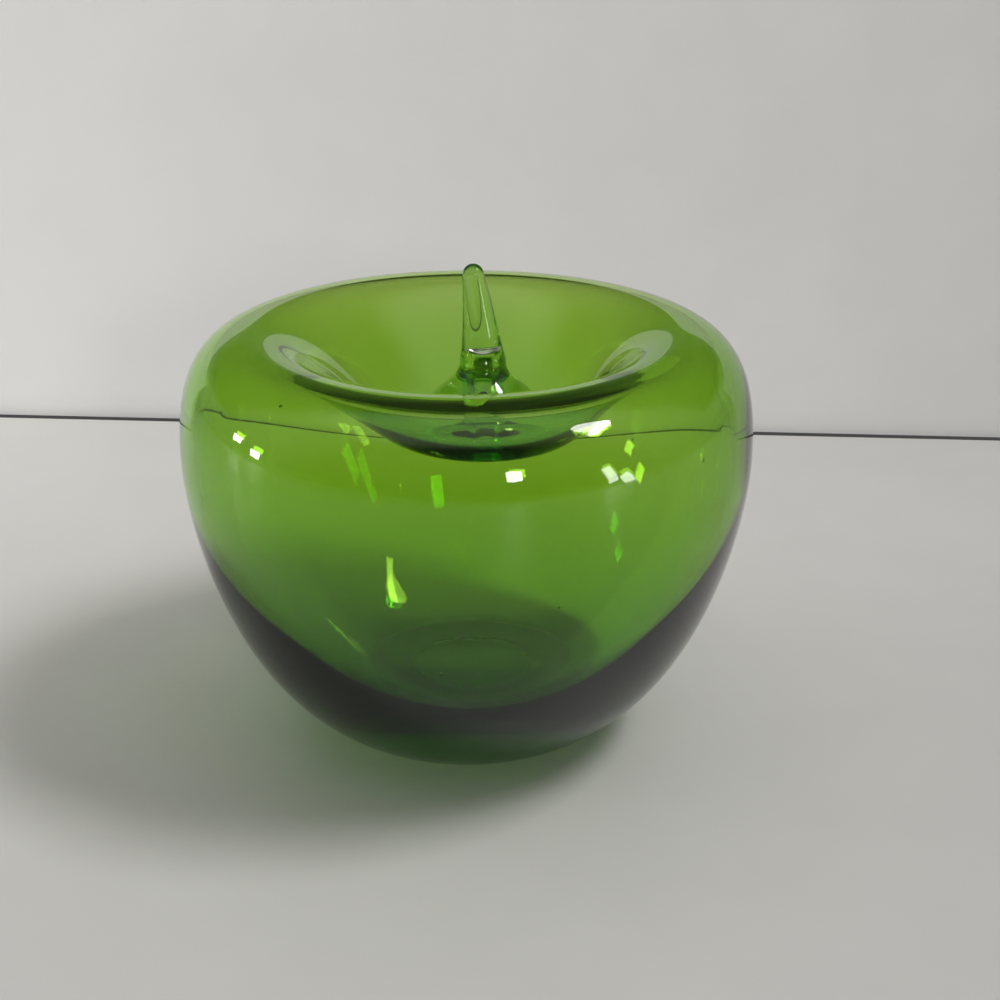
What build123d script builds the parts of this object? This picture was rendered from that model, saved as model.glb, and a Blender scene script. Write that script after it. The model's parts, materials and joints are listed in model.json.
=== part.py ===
import os

from build123d import *

# Hollow hand-blown glass apple with a drawn glass stem, standing on its base.
# Millimetres, +Z up, with the origin at the centre of the resting face.
# Profiles are half sections: the first number is a radius and the second a height.

# Outside of the body
body_radius = 76.0
widest_height = 81.0
heel_handle = (65.3, 10.7)  # pulls the underside out into the round lower half
flank_handle = 18.6  # upright stretch below the widest line
crest_height = 112.0
crest_radius = 55.7
shoulder_fullness = 0.72  # 0.55 would be a plain ellipse

# Base
base_radius = 31.4  # outer edge of the resting face
dish_radius = 20.3  # ground and polished hollow where the glass was held
dish_depth = 1.6

# Dimple around the stem
floor_height = 86.3
floor_radius = 20.8  # reaches past the stem's foot, which stands off the middle
crest_roll = 20.4  # how far the crest stays level on the dimple side
floor_roll = 12.0

# Sealed hollow inside the body
side_wall = 4.6
crest_wall = 3.5
cavity_floor = 9.5
cavity_floor_radius = 20.0  # level middle of the thick bottom
cavity_floor_handle = 30.0
cavity_side_handle = 31.0
cavity_widest_height = 82.0
cavity_crest_radius = 55.4
cavity_fullness = 0.80
ceiling_height = 82.8
ceiling_radius = 18.2
ceiling_crest_roll = 15.2
ceiling_floor_roll = 15.4

# Neck left where the bubble was cracked off, and the blow hole through it
stem_offset = 4.2  # the stem stands off the middle of the apple, towards +X
neck_height = 20.0
neck_foot_radius = 7.0
neck_top_radius = 4.5
neck_root = 3.0  # how deep the neck is rooted in the floor of the dimple
bore_radius = 3.2
bore_mouth_radius = 8.5
bore_mouth_height = 9.0
bore_mouth_lip = 0.5  # starts the mouth just below the ceiling
bore_overrun = 1.0  # carries the cut clear of the neck's top

# Stem, with heights from the floor of the dimple
pad_radius = 16.2  # bell-shaped foot that spreads over the floor of the dimple
pad_handles = ((16.4, 10.0), (5.4, 10.6))
shaft_foot = (6.1, 17.7)
shaft_sections = ((5.1, 21.9, 0.35), (4.5, 28.1, 0.85), (3.6, 33.6, 1.45))  # radius, height, lean
tip_radius = 2.8
tip_height = 40.3  # centre of the round tip
tip_lean = 2.35

os.makedirs("parts", exist_ok=True)

stem_plane = Plane(origin=(stem_offset, 0, 0), x_dir=(1, 0, 0), z_dir=(0, -1, 0))
stem_axis = Axis((stem_offset, 0, 0), (0, 0, 1))

dish_sphere_radius = (dish_radius**2 + dish_depth**2) / (2 * dish_depth)
widest = (body_radius, widest_height)
crest = (crest_radius, crest_height)
floor_edge = (floor_radius, floor_height)
cavity_floor_edge = (cavity_floor_radius, cavity_floor)
cavity_widest = (body_radius - side_wall, cavity_widest_height)
cavity_crest = (cavity_crest_radius, crest_height - crest_wall)
ceiling_edge = (ceiling_radius, ceiling_height)
neck_top = (neck_top_radius, floor_height + neck_height)
neck_foot = (neck_foot_radius, floor_height)
bore_mouth = (bore_mouth_radius, ceiling_height - bore_mouth_lip)
bore_throat = (bore_radius, ceiling_height + bore_mouth_height)


def corner(start, end, fullness):
    """Curve of a rounded corner that leaves start upright and reaches end level."""
    upright = (start[0], start[1] + fullness * (end[1] - start[1]))
    level = (end[0] + fullness * (start[0] - end[0]), end[1])
    return Bezier(start, upright, level, end)


def roll(start, end, start_handle, end_handle):
    """S-shaped curve that leaves start level, going inwards, and reaches end level."""
    return Bezier(start, (start[0] - start_handle, start[1]), (end[0] + end_handle, end[1]), end)


# The hollow inside the body: the blown space, and the blow hole that rises from its ceiling
with BuildPart() as hollow:
    with BuildSketch(Plane.XZ):
        with BuildLine():
            Line((0, cavity_floor), cavity_floor_edge)
            Bezier(
                cavity_floor_edge,
                (cavity_floor_radius + cavity_floor_handle, cavity_floor),
                (cavity_widest[0], cavity_widest_height - cavity_side_handle),
                cavity_widest,
            )
            corner(cavity_widest, cavity_crest, cavity_fullness)
            roll(cavity_crest, ceiling_edge, ceiling_crest_roll, ceiling_floor_roll)
            Polyline(ceiling_edge, (0, ceiling_height), (0, cavity_floor))
        make_face()
    revolve(axis=Axis.Z)
    with BuildSketch(stem_plane):
        with BuildLine():
            Bezier(
                bore_mouth,
                ((bore_mouth_radius + bore_radius) / 2, ceiling_height + bore_mouth_lip),
                (bore_radius, ceiling_height + bore_mouth_height / 3),
                bore_throat,
            )
            Polyline(
                bore_throat,
                (bore_radius, neck_top[1] + bore_overrun),
                (0, neck_top[1] + bore_overrun),
                (0, bore_mouth[1]),
                bore_mouth,
            )
        make_face()
    revolve(axis=stem_axis)

# Blown body: a thick-based bubble with its top pushed in and a short hollow neck in the dimple
with BuildPart() as blown_body:
    with BuildSketch(Plane.XZ):
        with BuildLine():
            Line((0, 0), (base_radius, 0))
            Bezier((base_radius, 0), heel_handle, (body_radius, widest_height - flank_handle), widest)
            corner(widest, crest, shoulder_fullness)
            roll(crest, floor_edge, crest_roll, floor_roll)
            Polyline(floor_edge, (0, floor_height), (0, 0))
        make_face()
    revolve(axis=Axis.Z)
    with BuildSketch(stem_plane):
        with BuildLine():
            Polyline(
                (0, floor_height - neck_root),
                (neck_foot_radius, floor_height - neck_root),
                neck_foot,
                neck_top,
                (0, neck_top[1]),
                close=True,
            )
        make_face()
    revolve(axis=stem_axis)
    add(hollow.part, mode=Mode.SUBTRACT)
    with Locations((0, 0, dish_depth - dish_sphere_radius)):
        Sphere(dish_sphere_radius, mode=Mode.SUBTRACT)
blown_body.part.label = "blown_body"
export_step(blown_body.part, "parts/blown_body.step")

# Stem: a solid bit dropped over the neck, which closes the blow hole, then drawn up to a round tip
with BuildPart() as stem:
    shaft_foot_point = (shaft_foot[0], floor_height + shaft_foot[1])
    with BuildSketch(stem_plane):
        with BuildLine():
            Bezier(
                (pad_radius, floor_height),
                *((radius, floor_height + height) for radius, height in pad_handles),
                shaft_foot_point,
            )
            Polyline(
                shaft_foot_point,
                (0, shaft_foot_point[1]),
                (0, floor_height),
                (pad_radius, floor_height),
            )
        make_face()
    revolve(axis=stem_axis)

    # The shaft leans a little as it rises, and ends round
    for radius, height, lean in ((*shaft_foot, 0.0), *shaft_sections, (tip_radius, tip_height, tip_lean)):
        with BuildSketch(Plane((stem_offset - lean, 0, floor_height + height))):
            Circle(radius)
    loft()
    with Locations((stem_offset - tip_lean, 0, floor_height + tip_height)):
        Sphere(tip_radius)

    # The socket that the neck fills
    with BuildSketch(stem_plane):
        with BuildLine():
            Polyline(
                (0, floor_height),
                neck_foot,
                neck_top,
                (0, neck_top[1]),
                close=True,
            )
        make_face()
    revolve(axis=stem_axis, mode=Mode.SUBTRACT)
stem.part.label = "stem"
export_step(stem.part, "parts/stem.step")
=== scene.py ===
import json
import math

import bpy
from mathutils import Matrix, Vector

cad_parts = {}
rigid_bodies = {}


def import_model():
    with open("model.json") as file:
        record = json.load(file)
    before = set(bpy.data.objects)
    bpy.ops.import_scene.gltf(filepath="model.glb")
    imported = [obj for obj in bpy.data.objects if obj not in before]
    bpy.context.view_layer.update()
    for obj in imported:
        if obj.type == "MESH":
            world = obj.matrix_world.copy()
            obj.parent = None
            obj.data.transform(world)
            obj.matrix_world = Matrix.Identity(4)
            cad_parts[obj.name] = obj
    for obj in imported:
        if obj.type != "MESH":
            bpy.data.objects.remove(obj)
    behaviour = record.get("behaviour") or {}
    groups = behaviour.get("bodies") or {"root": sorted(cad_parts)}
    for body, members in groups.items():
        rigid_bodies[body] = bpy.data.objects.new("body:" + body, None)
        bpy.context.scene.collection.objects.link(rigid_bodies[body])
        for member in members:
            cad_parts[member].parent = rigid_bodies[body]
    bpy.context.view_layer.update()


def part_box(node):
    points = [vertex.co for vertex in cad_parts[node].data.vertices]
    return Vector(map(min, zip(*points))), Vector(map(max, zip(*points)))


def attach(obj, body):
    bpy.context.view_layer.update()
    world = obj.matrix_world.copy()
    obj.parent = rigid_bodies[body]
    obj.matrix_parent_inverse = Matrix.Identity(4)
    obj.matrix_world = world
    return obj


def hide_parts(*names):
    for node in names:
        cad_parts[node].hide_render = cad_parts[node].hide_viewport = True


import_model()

# Hollow blown glass apple with a drawn stem. Metres, +Z up, origin at the middle of the base.
bodyLow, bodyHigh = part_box("blown_body")
stemLow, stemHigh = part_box("stem")
for node, low, high in (("body", bodyLow, bodyHigh), ("stem", stemLow, stemHigh)):
    print("frame:", node, [round(v, 4) for v in high - low])

scene = bpy.context.scene
scene.view_settings.view_transform = "Standard"
glassBounces = 32
scene.cycles.max_bounces = glassBounces
scene.cycles.transmission_bounces = glassBounces
scene.cycles.glossy_bounces = glassBounces // 2


# Half-section curves, as lists of (radius, height)

def curve(start, startHandle, endHandle, end, steps):
    points = []
    for i in range(steps + 1):
        t = i / steps
        u = 1 - t
        points.append(tuple(
            u ** 3 * a + 3 * u * u * t * b + 3 * u * t * t * c + t ** 3 * d
            for a, b, c, d in zip(start, startHandle, endHandle, end)))
    return points


def corner(start, end, fullness, steps):  # leaves start upright and reaches end level
    upright = (start[0], start[1] + fullness * (end[1] - start[1]))
    level = (end[0] + fullness * (start[0] - end[0]), end[1])
    return curve(start, upright, level, end, steps)


def roll(start, end, startHandle, endHandle, steps):  # S curve, level at both ends
    return curve(start, (start[0] - startHandle, start[1]), (end[0] + endHandle, end[1]), end, steps)


def softCorners(points, size, steps=4):  # straight runs with a small round at each bend
    softened = [points[0]]
    for before, bend, after in zip(points, points[1:], points[2:]):
        ends = []
        for other in (before, after):
            run = math.dist(bend, other)
            share = min(size, 0.45 * run) / run
            ends.append(tuple(b + share * (o - b) for b, o in zip(bend, other)))
        softened += curve(ends[0], bend, bend, ends[1], steps)
    return softened + [points[-1]]


def ease(t):
    return t * t * (3 - 2 * t)


# Rings along a section, with a sideways offset that grows
def slide(points, first, last, ripple=0.0, behind=None, seam=0.0):
    end = max(1, len(points) - 1)
    behind = behind or points  # the section at the back, where it differs from the front
    return [(front, back, first + (last - first) * ease(i / end), ripple, seam)
            for i, (front, back) in enumerate(zip(points, behind))]


closeTogether = 1e-6  # points nearer than this are one point
backBlend = {"start": 0.3, "growth": 0.8}  # the front section reaches past the sides


def lathe(rings, segments, waves):
    verts, faces, seams, starts = [], [], [], []
    last = None
    for front, back, shift, ripple, seam in rings:
        if last and math.dist(last, front) < closeTogether:
            continue
        last = front
        if front[0] < closeTogether:
            starts.append((len(verts), 1))
            verts.append((shift, 0, front[1]))
            seams.append(seam)
            continue
        starts.append((len(verts), segments))
        seams += [seam] * segments
        for i in range(segments):
            angle = 2 * math.pi * i / segments
            share = ease(min(1, max(0, backBlend["start"] + backBlend["growth"] * math.sin(angle))))
            wave = sum(size * math.cos(count * angle + turn) for count, turn, size in waves)
            reach = front[0] + share * (back[0] - front[0]) + ripple * wave
            height = front[1] + share * (back[1] - front[1])
            verts.append((shift + reach * math.cos(angle), reach * math.sin(angle), height))
    for (a, sizeA), (b, sizeB) in zip(starts, starts[1:]):
        for i in range(segments):
            j = (i + 1) % segments
            if sizeA == 1:
                faces.append((a, b + j, b + i))
            elif sizeB == 1:
                faces.append((a + i, a + j, b))
            else:
                faces.append((a + i, a + j, b + j, b + i))
    return verts, faces, seams


def makePiece(name, verts, faces, seams, material):
    mesh = bpy.data.meshes.new(name)
    mesh.from_pydata(verts, [], faces)
    mesh.shade_smooth()
    mesh.attributes.new("seam", "FLOAT", "POINT").data.foreach_set("value", seams)
    mesh.materials.append(material)
    piece = bpy.data.objects.new(name, mesh)
    scene.collection.objects.link(piece)
    return piece


# Glass finishes

greenGlass = {
    "ior": 1.5,
    "passedColour": (0.645, 0.858, 0.01),
    "density": 340.0,
    "striaeScale": 16.0,
    "striaeHeight": 0.00006,
    "wornRoughness": 0.45,
    "wornHeights": (0.0002, 0.0008),  # worn below the first, polished above the second
}
paleGlass = {
    "ior": 1.5,
    "passedColour": (0.60, 0.84, 0.30),
    "density": 40.0,
    "striaeScale": 40.0,
    "striaeHeight": 0.00003,
}
striaeDetail = 1.5


def makeGlass(name, look):
    glass = bpy.data.materials.new(name)
    glass.use_nodes = True
    tree = glass.node_tree
    shader = tree.nodes["Principled BSDF"]
    shader.inputs["Base Color"].default_value = (1, 1, 1, 1)
    shader.inputs["Transmission Weight"].default_value = 1
    shader.inputs["IOR"].default_value = look["ior"]
    shader.inputs["Roughness"].default_value = 0

    # Where the two glasses are fused, light passes straight from one into the other
    fused = tree.nodes.new("ShaderNodeAttribute")
    fused.attribute_name = "seam"
    bend = tree.nodes.new("ShaderNodeMapRange")
    bend.inputs["To Min"].default_value = look["ior"]
    bend.inputs["To Max"].default_value = 1
    tree.links.new(fused.outputs["Fac"], bend.inputs["Value"])
    tree.links.new(bend.outputs["Result"], shader.inputs["IOR"])

    # Faint striae left by the blowing
    place = tree.nodes.new("ShaderNodeTexCoord")
    striae = tree.nodes.new("ShaderNodeTexNoise")
    striae.inputs["Scale"].default_value = look["striaeScale"]
    striae.inputs["Detail"].default_value = striaeDetail
    relief = tree.nodes.new("ShaderNodeBump")
    relief.inputs["Strength"].default_value = 1
    relief.inputs["Distance"].default_value = look["striaeHeight"]
    tree.links.new(place.outputs["Object"], striae.inputs["Vector"])
    tree.links.new(striae.outputs["Fac"], relief.inputs["Height"])
    tree.links.new(relief.outputs["Normal"], shader.inputs["Normal"])

    # Worn where it stands on the table
    if "wornRoughness" in look:
        height = tree.nodes.new("ShaderNodeSeparateXYZ")
        wear = tree.nodes.new("ShaderNodeMapRange")
        for socket, value in zip(("From Min", "From Max"), look["wornHeights"]):
            wear.inputs[socket].default_value = value
        wear.inputs["To Min"].default_value = look["wornRoughness"]
        wear.inputs["To Max"].default_value = 0
        tree.links.new(place.outputs["Object"], height.inputs["Vector"])
        tree.links.new(height.outputs["Z"], wear.inputs["Value"])
        tree.links.new(wear.outputs["Result"], shader.inputs["Roughness"])

    absorb = tree.nodes.new("ShaderNodeVolumeAbsorption")
    absorb.inputs["Color"].default_value = (*look["passedColour"], 1)
    absorb.inputs["Density"].default_value = look["density"]
    tree.links.new(absorb.outputs["Volume"], tree.nodes["Material Output"].inputs["Volume"])
    return glass


greenGlassMaterial = makeGlass("green_glass", greenGlass)
paleGlassMaterial = makeGlass("stem_glass", paleGlass)
print("materials: green glass and pale stem glass")


# Blown body: outside, dimple, hollow neck, blow hole and the sealed space inside, as one skin

appleBody = {
    "segments": 192,
    "dishSteps": 16,  # steps along each stretch of the section
    "heelSteps": 72,
    "shoulderSteps": 36,
    "dimpleSteps": 48,
    "pocketSteps": 12,
    "mouthSteps": 16,
    "ceilingSteps": 44,
    "innerShoulderSteps": 32,
    "innerFloorSteps": 8,
    "innerSideSteps": 64,
    "edgeRound": 0.0006,  # radius of small rounds
    "seamStep": 0.0001,  # width of the step between the fused face and the open glass
    "widestHeight": 0.081,
    "heelHandle": (0.0653, 0.0107),
    "flankHandle": 0.0186,
    "crestRadius": (0.0557, 0.058),  # at the front and at the back, as in every pair below
    "shoulderFullness": 0.72,
    "baseRadius": 0.0314,
    "dishRadius": 0.0203,
    "dishDepth": 0.0016,
    "floorHeight": 0.0863,
    "floorRadius": (0.0186, 0.012),
    "crestRoll": (0.0204, 0.016),
    "floorRoll": (0.014, 0.002),
    "sideWall": 0.0046,
    "crestWall": (0.0041, 0.0022),
    "cavityFloor": 0.0085,
    "cavityFloorRadius": 0.026,
    "cavityFloorHandle": 0.014,
    "cavitySideHandle": 0.040,
    "cavityWidestHeight": 0.082,
    "cavityCrestRadius": (0.0564, 0.0587),
    "cavityFullness": (0.724, 0.80),
    "ceilingHeight": 0.0823,
    "ceilingRadius": (0.0182, 0.012),
    "ceilingCrestRoll": (0.024, 0.0165),
    "ceilingFloorRoll": (0.014, 0.009),
    "stemOffset": 0.0042,
    "seamRadius": 0.0062,  # the stem's foot is fused to the floor of the dimple as far as this
    "neckHeight": 0.020,
    "neckFootRadius": 0.0044,
    "neckTopRadius": 0.0038,
    "boreRadius": 0.0031,
    "boreMouthRadius": 0.0045,
    "boreMouthHeight": 0.003,
    "pocketRadius": 0.0032,  # air left at the top of the blow hole, under the stem
    "pocketDepth": 0.0016,
    "pocketBend": 0.6,  # share of the depth
    "pocketEnd": 1.6,  # share of the depth
    "innerWaves": ((2, 0.7, 0.00025), (3, 2.1, 0.0002)),
    # Seed bubbles in the wall: place and radius
    "seeds": (
        ((-0.0429, -0.0498, 0.1081), 0.0004),
        ((0.0553, -0.0485, 0.0938), 0.0004),
        ((-0.0066, -0.0683, 0.0484), 0.0005),
        ((0.0205, -0.0701, 0.0665), 0.0003),
        ((0.0512, 0.0500, 0.0620), 0.0004),
        ((-0.0690, 0.0200, 0.0700), 0.0003),
    ),
}


def bodyRings(shape):
    radius = min(bodyHigh.x, -bodyLow.x, bodyHigh.y, -bodyLow.y)
    crestHeight = bodyHigh.z
    offset = shape["stemOffset"]
    sphere = (shape["dishRadius"] ** 2 + shape["dishDepth"] ** 2) / (2 * shape["dishDepth"])
    dish = []
    for i in range(shape["dishSteps"] + 1):
        r = shape["dishRadius"] * i / shape["dishSteps"]
        dish.append((r, shape["dishDepth"] - sphere + math.sqrt(sphere ** 2 - r ** 2)))
    edge = shape["edgeRound"]
    base = [(shape["dishRadius"] + edge, 0), (shape["baseRadius"] - edge, 0)]
    widest = (radius, shape["widestHeight"])
    crests = [(crestRadius, crestHeight) for crestRadius in shape["crestRadius"]]
    heel = curve((shape["baseRadius"], 0), shape["heelHandle"],
                 (radius, widest[1] - shape["flankHandle"]), widest, shape["heelSteps"])
    shoulders = [corner(widest, crest, shape["shoulderFullness"], shape["shoulderSteps"]) for crest in crests]

    floor = shape["floorHeight"]
    dimples = []
    for crest, floorRadius, crestRoll, floorRoll in zip(
            crests, shape["floorRadius"], shape["crestRoll"], shape["floorRoll"]):
        dimples.append(roll(crest, (floorRadius, floor), crestRoll, floorRoll, shape["dimpleSteps"]))
    neckTop = floor + shape["neckHeight"]
    throat = shape["ceilingHeight"] + shape["boreMouthHeight"]
    thin = shape["seamStep"]
    neck = softCorners([
        (shape["seamRadius"] - thin, floor),
        (shape["neckFootRadius"], floor),
        (shape["neckTopRadius"], neckTop),
        (shape["pocketRadius"] + thin, neckTop),
    ], shape["edgeRound"])
    depth = shape["pocketDepth"]
    pocket = curve((shape["pocketRadius"], neckTop - thin),
                   (shape["pocketRadius"], neckTop - depth),
                   (shape["boreRadius"], neckTop - shape["pocketBend"] * depth),
                   (shape["boreRadius"], neckTop - shape["pocketEnd"] * depth), shape["pocketSteps"])
    mouth = pocket + curve((shape["boreRadius"], throat),
                           (shape["boreRadius"], shape["ceilingHeight"] + shape["boreMouthHeight"] / 3),
                           ((shape["boreMouthRadius"] + shape["boreRadius"]) / 2, shape["ceilingHeight"]),
                           (shape["boreMouthRadius"], shape["ceilingHeight"]), shape["mouthSteps"])

    cavityWidest = (radius - shape["sideWall"], shape["cavityWidestHeight"])
    ceilings, innerShoulders = [], []
    for side in (0, 1):
        cavityCrest = (shape["cavityCrestRadius"][side], crestHeight - shape["crestWall"][side])
        ceilingEdge = (shape["ceilingRadius"][side], shape["ceilingHeight"])
        ceilings.append(roll(cavityCrest, ceilingEdge, shape["ceilingCrestRoll"][side],
                             shape["ceilingFloorRoll"][side], shape["ceilingSteps"])[::-1])
        innerShoulders.append(corner(cavityWidest, cavityCrest, shape["cavityFullness"][side],
                                     shape["innerShoulderSteps"])[::-1])
    floorSteps = shape["innerFloorSteps"]
    innerFloor = [(shape["cavityFloorRadius"] * i / floorSteps, shape["cavityFloor"])
                  for i in range(floorSteps)]
    innerSide = curve((shape["cavityFloorRadius"], shape["cavityFloor"]),
                      (shape["cavityFloorRadius"] + shape["cavityFloorHandle"], shape["cavityFloor"]),
                      (cavityWidest[0], cavityWidest[1] - shape["cavitySideHandle"]), cavityWidest,
                      shape["innerSideSteps"])

    rings = slide(dish + base + heel, 0, 0)
    rings += slide(shoulders[0], 0, 0, behind=shoulders[1])
    rings += slide(dimples[0], 0, offset, behind=dimples[1])
    rings += slide([(shape["seamRadius"], floor)], offset, offset)
    rings += slide(neck, offset, offset, seam=1.0)
    rings += slide(mouth, offset, offset)
    rings += slide(ceilings[0], offset, 0, behind=ceilings[1])
    rings += slide(innerShoulders[0], 0, 0, 1.0, innerShoulders[1])
    rings += slide(innerSide[::-1] + innerFloor[::-1], 0, 0, 1.0)
    return rings


def addSeed(verts, faces, seams, place, radius, around=12, rows=6):  # its skin faces into the bubble
    tilts = [math.pi * i / rows for i in range(rows + 1)]
    section = [(radius * math.sin(tilt), radius * math.cos(tilt)) for tilt in tilts]
    points, skin, flags = lathe(slide(section, 0, 0), around, ())
    start = len(verts)
    verts += [tuple(a + b for a, b in zip(place, point)) for point in points]
    faces += [tuple(start + i for i in face) for face in skin]
    seams += flags


verts, faces, seams = lathe(bodyRings(appleBody), appleBody["segments"], appleBody["innerWaves"])
for place, radius in appleBody["seeds"]:
    addSeed(verts, faces, seams, place, radius)
body = makePiece("apple_body", verts, faces, seams, greenGlassMaterial)
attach(body, "root")
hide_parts("blown_body")
print("body:", len(verts), "points")


# Stem: solid glass dropped over the neck and drawn up to a round tip

appleStem = {
    "segments": 96,
    "sagSteps": 10,  # steps along each stretch of the section
    "padSteps": 28,
    "shaftSteps": 32,
    "domeSteps": 12,
    "padRadius": 0.0162,
    "padHandles": ((0.0164, 0.0100), (0.0054, 0.0106)),
    "shaftFoot": (0.0061, 0.0177),
    "shaftHandles": ((0.0050, 0.0212), (0.0039, 0.0329)),
    "tipRadius": 0.0028,
    "tipHeight": 0.0403,
    "tipLean": 0.00235,
    "leanPower": 1.3,
    "bite": 0.0002,  # how far the stem's glass runs into the body's, so that the two read as fused
    "boreSag": 0.0010,  # the drop hangs a little way into the blow hole
}


def stemRings(shape, under):
    floor = under["floorHeight"]
    offset = under["stemOffset"]
    bite = shape["bite"]
    neckTop = floor + under["neckHeight"] - bite
    steps = shape["sagSteps"]
    sag = [(under["pocketRadius"] * i / steps, neckTop - shape["boreSag"] * (1 - (i / steps) ** 2))
           for i in range(steps + 1)]
    socket = softCorners([
        (under["pocketRadius"] + bite / 4, neckTop),
        (under["neckTopRadius"] - bite, neckTop),
        (under["neckFootRadius"] - bite, floor - bite),
        (shape["padRadius"] - 2 * bite, floor - bite),
    ], under["edgeRound"])
    foot = (shape["shaftFoot"][0], floor + shape["shaftFoot"][1])
    tip = (shape["tipRadius"], floor + shape["tipHeight"])
    pad = curve((shape["padRadius"], floor + bite),
                *((r, floor + z) for r, z in shape["padHandles"]), foot, shape["padSteps"])
    shaft = curve(foot, *((r, floor + z) for r, z in shape["shaftHandles"]), tip, shape["shaftSteps"])
    turns = [math.radians(90 * i / shape["domeSteps"]) for i in range(shape["domeSteps"])]
    dome = [(tip[0] * math.cos(a), tip[1] + tip[0] * math.sin(a)) for a in turns] + [(0, tip[1] + tip[0])]
    rings = slide(sag, offset, offset)
    rings += slide(socket, offset, offset, seam=1.0)
    rings += slide(pad, offset, offset)
    for r, z in shaft + dome:
        rise = min(1, (z - foot[1]) / (tip[1] - foot[1]))
        rings.append(((r, z), (r, z), offset - shape["tipLean"] * rise ** shape["leanPower"], 0.0, 0.0))
    return rings


verts, faces, seams = lathe(stemRings(appleStem, appleBody), appleStem["segments"], ())
stem = makePiece("apple_stem", verts, faces, seams, paleGlassMaterial)
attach(stem, "root")
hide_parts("stem")
print("stem:", len(verts), "points")


# Stage: a pale table top and a pale board behind it, both painted lighter at the left and darker at the
# right, a painted shadow strip where they meet, and soft light

stage = {
    # Painted light: each pair of colours runs from lighter at the left to darker at the right, standing in
    # for light falling off across the table and board
    "floorFalloffColours": ((0.84, 0.83, 0.80), (0.53, 0.515, 0.495)),  # left and right, as in each pair of colours
    "floorRoughness": 0.45,
    # Painted shadow: a near-black strip lies on the table at the foot of the board, standing in for the shade
    # in the joint
    "gapShadowColours": ((0.05, 0.05, 0.05), (0.04, 0.04, 0.04)),
    "shadowStripRoughness": 0.8,
    "boardFalloffColours": ((0.86, 0.85, 0.835), (0.50, 0.495, 0.485)),
    "boardRoughness": 0.6,
    "falloffReach": 0.3,  # the colours change from this far left to this far right
    "mottleScale": 30,
    "mottleDetail": 4,
    "mottleShare": 0.15,
    "boardGlow": 0.34,  # share of its own colour that the board gives off, as if lit from the front
    "boardTurn": -5.1,  # degrees about Z
    "boardBack": 0.230,  # where the board crosses the middle line
    "boardWidth": 0.70,
    "boardHeight": 0.179,
    "shadowStripWidth": 0.004,
    "shadowStripLift": 0.0002,
    "tableReach": 3.0,
    "drop": 0.0003,  # the floor lies this far under the base
    "panelCentre": 0.09,  # height that the lights are aimed at
    "horizonLevel": 0.25,
    "sideLevel": 0.38,
    "topLevel": 0.68,
    "frontShare": 0.2,
    "backLevel": 0.04,
    "backgroundLevel": 0.62,
    "sideFade": (0.0, 0.45),  # where each level of the world starts and is full, as parts of a direction
    "frontFade": (-0.6, -0.15),
    "backFade": (0.15, 0.45),
    "aboveFade": (0.18, 0.32),
    "topFade": (0.75, 0.93),
}


def makeStageMaterial(name, falloffColours, roughness, glow=0.0):
    material = bpy.data.materials.new(name)
    material.use_nodes = True
    tree = material.node_tree
    shader = tree.nodes["Principled BSDF"]
    shader.inputs["Roughness"].default_value = roughness
    place = tree.nodes.new("ShaderNodeTexCoord")
    mottle = tree.nodes.new("ShaderNodeTexNoise")
    mottle.inputs["Scale"].default_value = stage["mottleScale"]
    mottle.inputs["Detail"].default_value = stage["mottleDetail"]
    # Painted light: the colour moves from the left colour to the right one across X, as light falling off;
    # the noise adds random mottle
    across = tree.nodes.new("ShaderNodeSeparateXYZ")
    share = tree.nodes.new("ShaderNodeMapRange")
    share.inputs["From Min"].default_value = -stage["falloffReach"]
    share.inputs["From Max"].default_value = stage["falloffReach"]
    uneven = tree.nodes.new("ShaderNodeMath")
    uneven.operation = "MULTIPLY_ADD"
    uneven.inputs[1].default_value = stage["mottleShare"]
    tone = tree.nodes.new("ShaderNodeMix")
    tone.data_type = "RGBA"
    sockets = [s for s in tone.inputs if s.type == "RGBA"]
    for socket, colour in zip(sockets, falloffColours):
        socket.default_value = (*colour, 1)
    tree.links.new(place.outputs["Object"], mottle.inputs["Vector"])
    tree.links.new(place.outputs["Object"], across.inputs["Vector"])
    tree.links.new(across.outputs["X"], share.inputs["Value"])
    tree.links.new(mottle.outputs["Fac"], uneven.inputs[0])
    tree.links.new(share.outputs["Result"], uneven.inputs[2])
    tree.links.new(uneven.outputs["Value"], tone.inputs["Factor"])
    colour = [s for s in tone.outputs if s.type == "RGBA"][0]
    tree.links.new(colour, shader.inputs["Base Color"])
    tree.links.new(colour, shader.inputs["Emission Color"])
    shader.inputs["Emission Strength"].default_value = glow
    # Seen from behind or from below, the stage is clear
    sides = tree.nodes.new("ShaderNodeNewGeometry")
    clear = tree.nodes.new("ShaderNodeBsdfTransparent")
    mix = tree.nodes.new("ShaderNodeMixShader")
    tree.links.new(sides.outputs["Backfacing"], mix.inputs["Fac"])
    tree.links.new(shader.outputs["BSDF"], mix.inputs[1])
    tree.links.new(clear.outputs["BSDF"], mix.inputs[2])
    tree.links.new(mix.outputs["Shader"], tree.nodes["Material Output"].inputs["Surface"])
    return material


def makePlane(name, corners, material):
    mesh = bpy.data.meshes.new(name)
    mesh.from_pydata(corners, [], [tuple(range(len(corners)))])
    mesh.materials.append(material)
    plane = bpy.data.objects.new(name, mesh)
    scene.collection.objects.link(plane)


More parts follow.
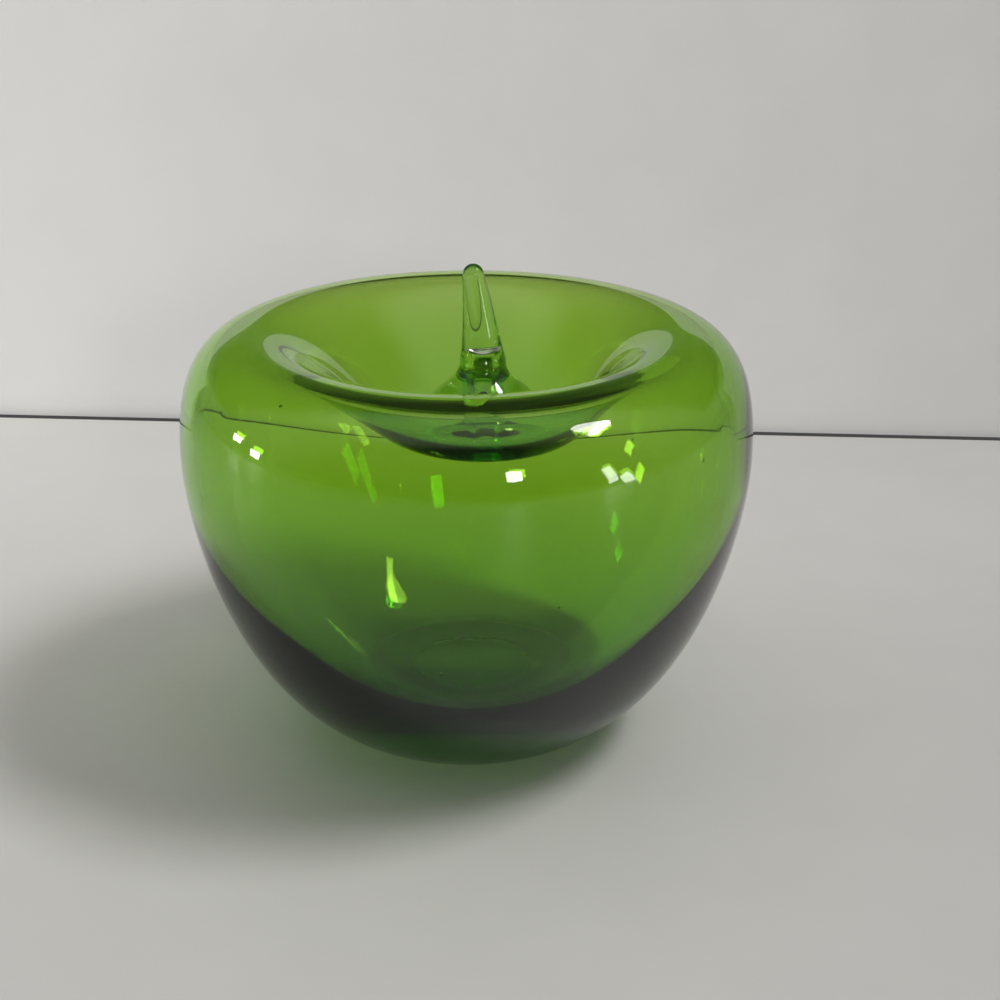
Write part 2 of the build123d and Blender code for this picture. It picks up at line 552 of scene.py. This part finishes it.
floorMaterial = makeStageMaterial("table_top", stage["floorFalloffColours"], stage["floorRoughness"])
boardMaterial = makeStageMaterial("board", stage["boardFalloffColours"], stage["boardRoughness"], stage["boardGlow"])
shadowStripMaterial = makeStageMaterial("painted_gap_shadow", stage["gapShadowColours"], stage["shadowStripRoughness"])
reach = stage["tableReach"]
low = -stage["drop"]
signs = ((-1, -1), (1, -1), (1, 1), (-1, 1))
makePlane("table", [(x * reach, y * reach, low) for x, y in signs], floorMaterial)
boardTurn = math.radians(stage["boardTurn"])
along = Vector((math.cos(boardTurn), math.sin(boardTurn), 0))
middle = Vector((0, stage["boardBack"], low))
left = middle - along * stage["boardWidth"] / 2
right = middle + along * stage["boardWidth"] / 2
up = Vector((0, 0, stage["boardHeight"]))
makePlane("board", [left, right, right + up, left + up], boardMaterial)
# Painted shadow: a dark strip on the table just in front of the board's foot
forward = Vector((along.y, -along.x, 0)) * stage["shadowStripWidth"]
lift = Vector((0, 0, stage["shadowStripLift"]))
makePlane("painted_gap_shadow", [left + forward + lift, right + forward + lift, right + lift, left + lift], shadowStripMaterial)

world = bpy.data.worlds.new("room")
scene.world = world
world.use_nodes = True
tree = world.node_tree
background = tree.nodes["Background"]
background.inputs["Color"].default_value = (1, 0.99, 0.97, 1)


def worldNode(kind, **settings):
    node = tree.nodes.new(kind)
    for name, value in settings.items():
        setattr(node, name, value)
    return node


def between(source, low, high, start, end):
    step = worldNode("ShaderNodeMapRange", interpolation_type="SMOOTHSTEP")
    for name, value in (("From Min", low), ("From Max", high), ("To Min", start), ("To Max", end)):
        step.inputs[name].default_value = value
    tree.links.new(source, step.inputs["Value"])
    return step.outputs["Result"]


def combine(operation, first, second):
    node = worldNode("ShaderNodeMath", operation=operation)
    for socket, value in zip(node.inputs, (first, second)):
        if isinstance(value, (int, float)):
            socket.default_value = value
        else:
            tree.links.new(value, socket)
    return node.outputs["Value"]


place = worldNode("ShaderNodeTexCoord")
split = worldNode("ShaderNodeSeparateXYZ")
tree.links.new(place.outputs["Generated"], split.inputs["Vector"])
# Pale to both sides and overhead, dim along the horizon, in front and above the board
depthAxis, heightAxis = split.outputs["Y"], split.outputs["Z"]
sides = between(heightAxis, *stage["sideFade"], stage["horizonLevel"], stage["sideLevel"])
level = combine("MULTIPLY", sides, between(depthAxis, *stage["frontFade"], stage["frontShare"], 1))
behind = between(depthAxis, *stage["backFade"], 0, 1)
above = combine("MULTIPLY", behind, between(heightAxis, *stage["aboveFade"], 0, 1))
overhead = between(heightAxis, *stage["topFade"], 0, 1)
for share, value in ((above, stage["backLevel"]), (overhead, stage["topLevel"])):
    step = worldNode("ShaderNodeMix")
    step.inputs["B"].default_value = value
    tree.links.new(share, step.inputs["Factor"])
    tree.links.new(level, step.inputs["A"])
    level = step.outputs["Result"]
rays = worldNode("ShaderNodeLightPath")
pick = worldNode("ShaderNodeMix")
pick.inputs["B"].default_value = stage["backgroundLevel"]
tree.links.new(rays.outputs["Is Camera Ray"], pick.inputs["Factor"])
tree.links.new(level, pick.inputs["A"])
tree.links.new(pick.outputs["Result"], background.inputs["Strength"])


def lookingFrom(azimuth, elevation):  # azimuth 0 is behind the apple, 90 to its right
    a, e = math.radians(azimuth), math.radians(elevation)
    return Vector((math.sin(a) * math.cos(e), math.cos(a) * math.cos(e), math.sin(e)))


def addPanel(name, start, end, distance, height, brightness, shape="RECTANGLE"):
    first, last = lookingFrom(*start) * distance, lookingFrom(*end) * distance
    away = (first + last).normalized()
    side = (last - first).normalized()
    light = bpy.data.lights.new(name, "AREA")
    light.shape = shape
    light.size = (last - first).length
    light.size_y = height
    light.energy = brightness * math.pi * light.size * height
    panel = bpy.data.objects.new(name, light)
    turn = Matrix((side, away.cross(side), away)).transposed()
    aim = Vector((0, 0, stage["panelCentre"]))
    panel.matrix_world = Matrix.Translation(aim + (first + last) / 2) @ turn.to_4x4()
    panel.visible_camera = False
    scene.collection.objects.link(panel)


# Name, one end and the other as (azimuth, elevation) in degrees, distance, height and brightness
panels = (
    ("key_core", (84, 58), (116, 48), 1.7, 0.11, 34),
    ("key_glow", (84, 61), (112, 53), 1.75, 0.36, 11, "ELLIPSE"),
    ("left_window_a", (-81, 5), (-86, 5), 1.5, 0.11, 22),
    ("left_window_b", (-92, 2), (-97, 2), 1.5, 0.11, 22),
    ("front_window_a", (160, 15), (166, 15), 1.5, 0.25, 22),
    ("right_window_a", (117, -2), (121, -4), 1.5, 0.30, 11),
    ("right_window_b", (125, 5), (129, 4), 1.5, 0.30, 11),
)
for panel in panels:
    addPanel(*panel)
print("stage: table, board and", len(bpy.data.lights), "lights")


# Camera at the photograph's viewing angle

viewPoint = {
    "place": (0, -0.37871, 0.22562),
    "tiltDown": 23.209,
    "turnRight": 1.323,
    "lens": 54.0,
    "sensor": 36.0,
}
cameraData = bpy.data.cameras.new("camera")
cameraData.lens = viewPoint["lens"]
cameraData.sensor_width = viewPoint["sensor"]
camera = bpy.data.objects.new("camera", cameraData)
camera.location = viewPoint["place"]
tilt, turn = math.radians(90 - viewPoint["tiltDown"]), math.radians(-viewPoint["turnRight"])
camera.rotation_euler = (tilt, 0, turn)
scene.collection.objects.link(camera)
scene.camera = camera
print("camera set")
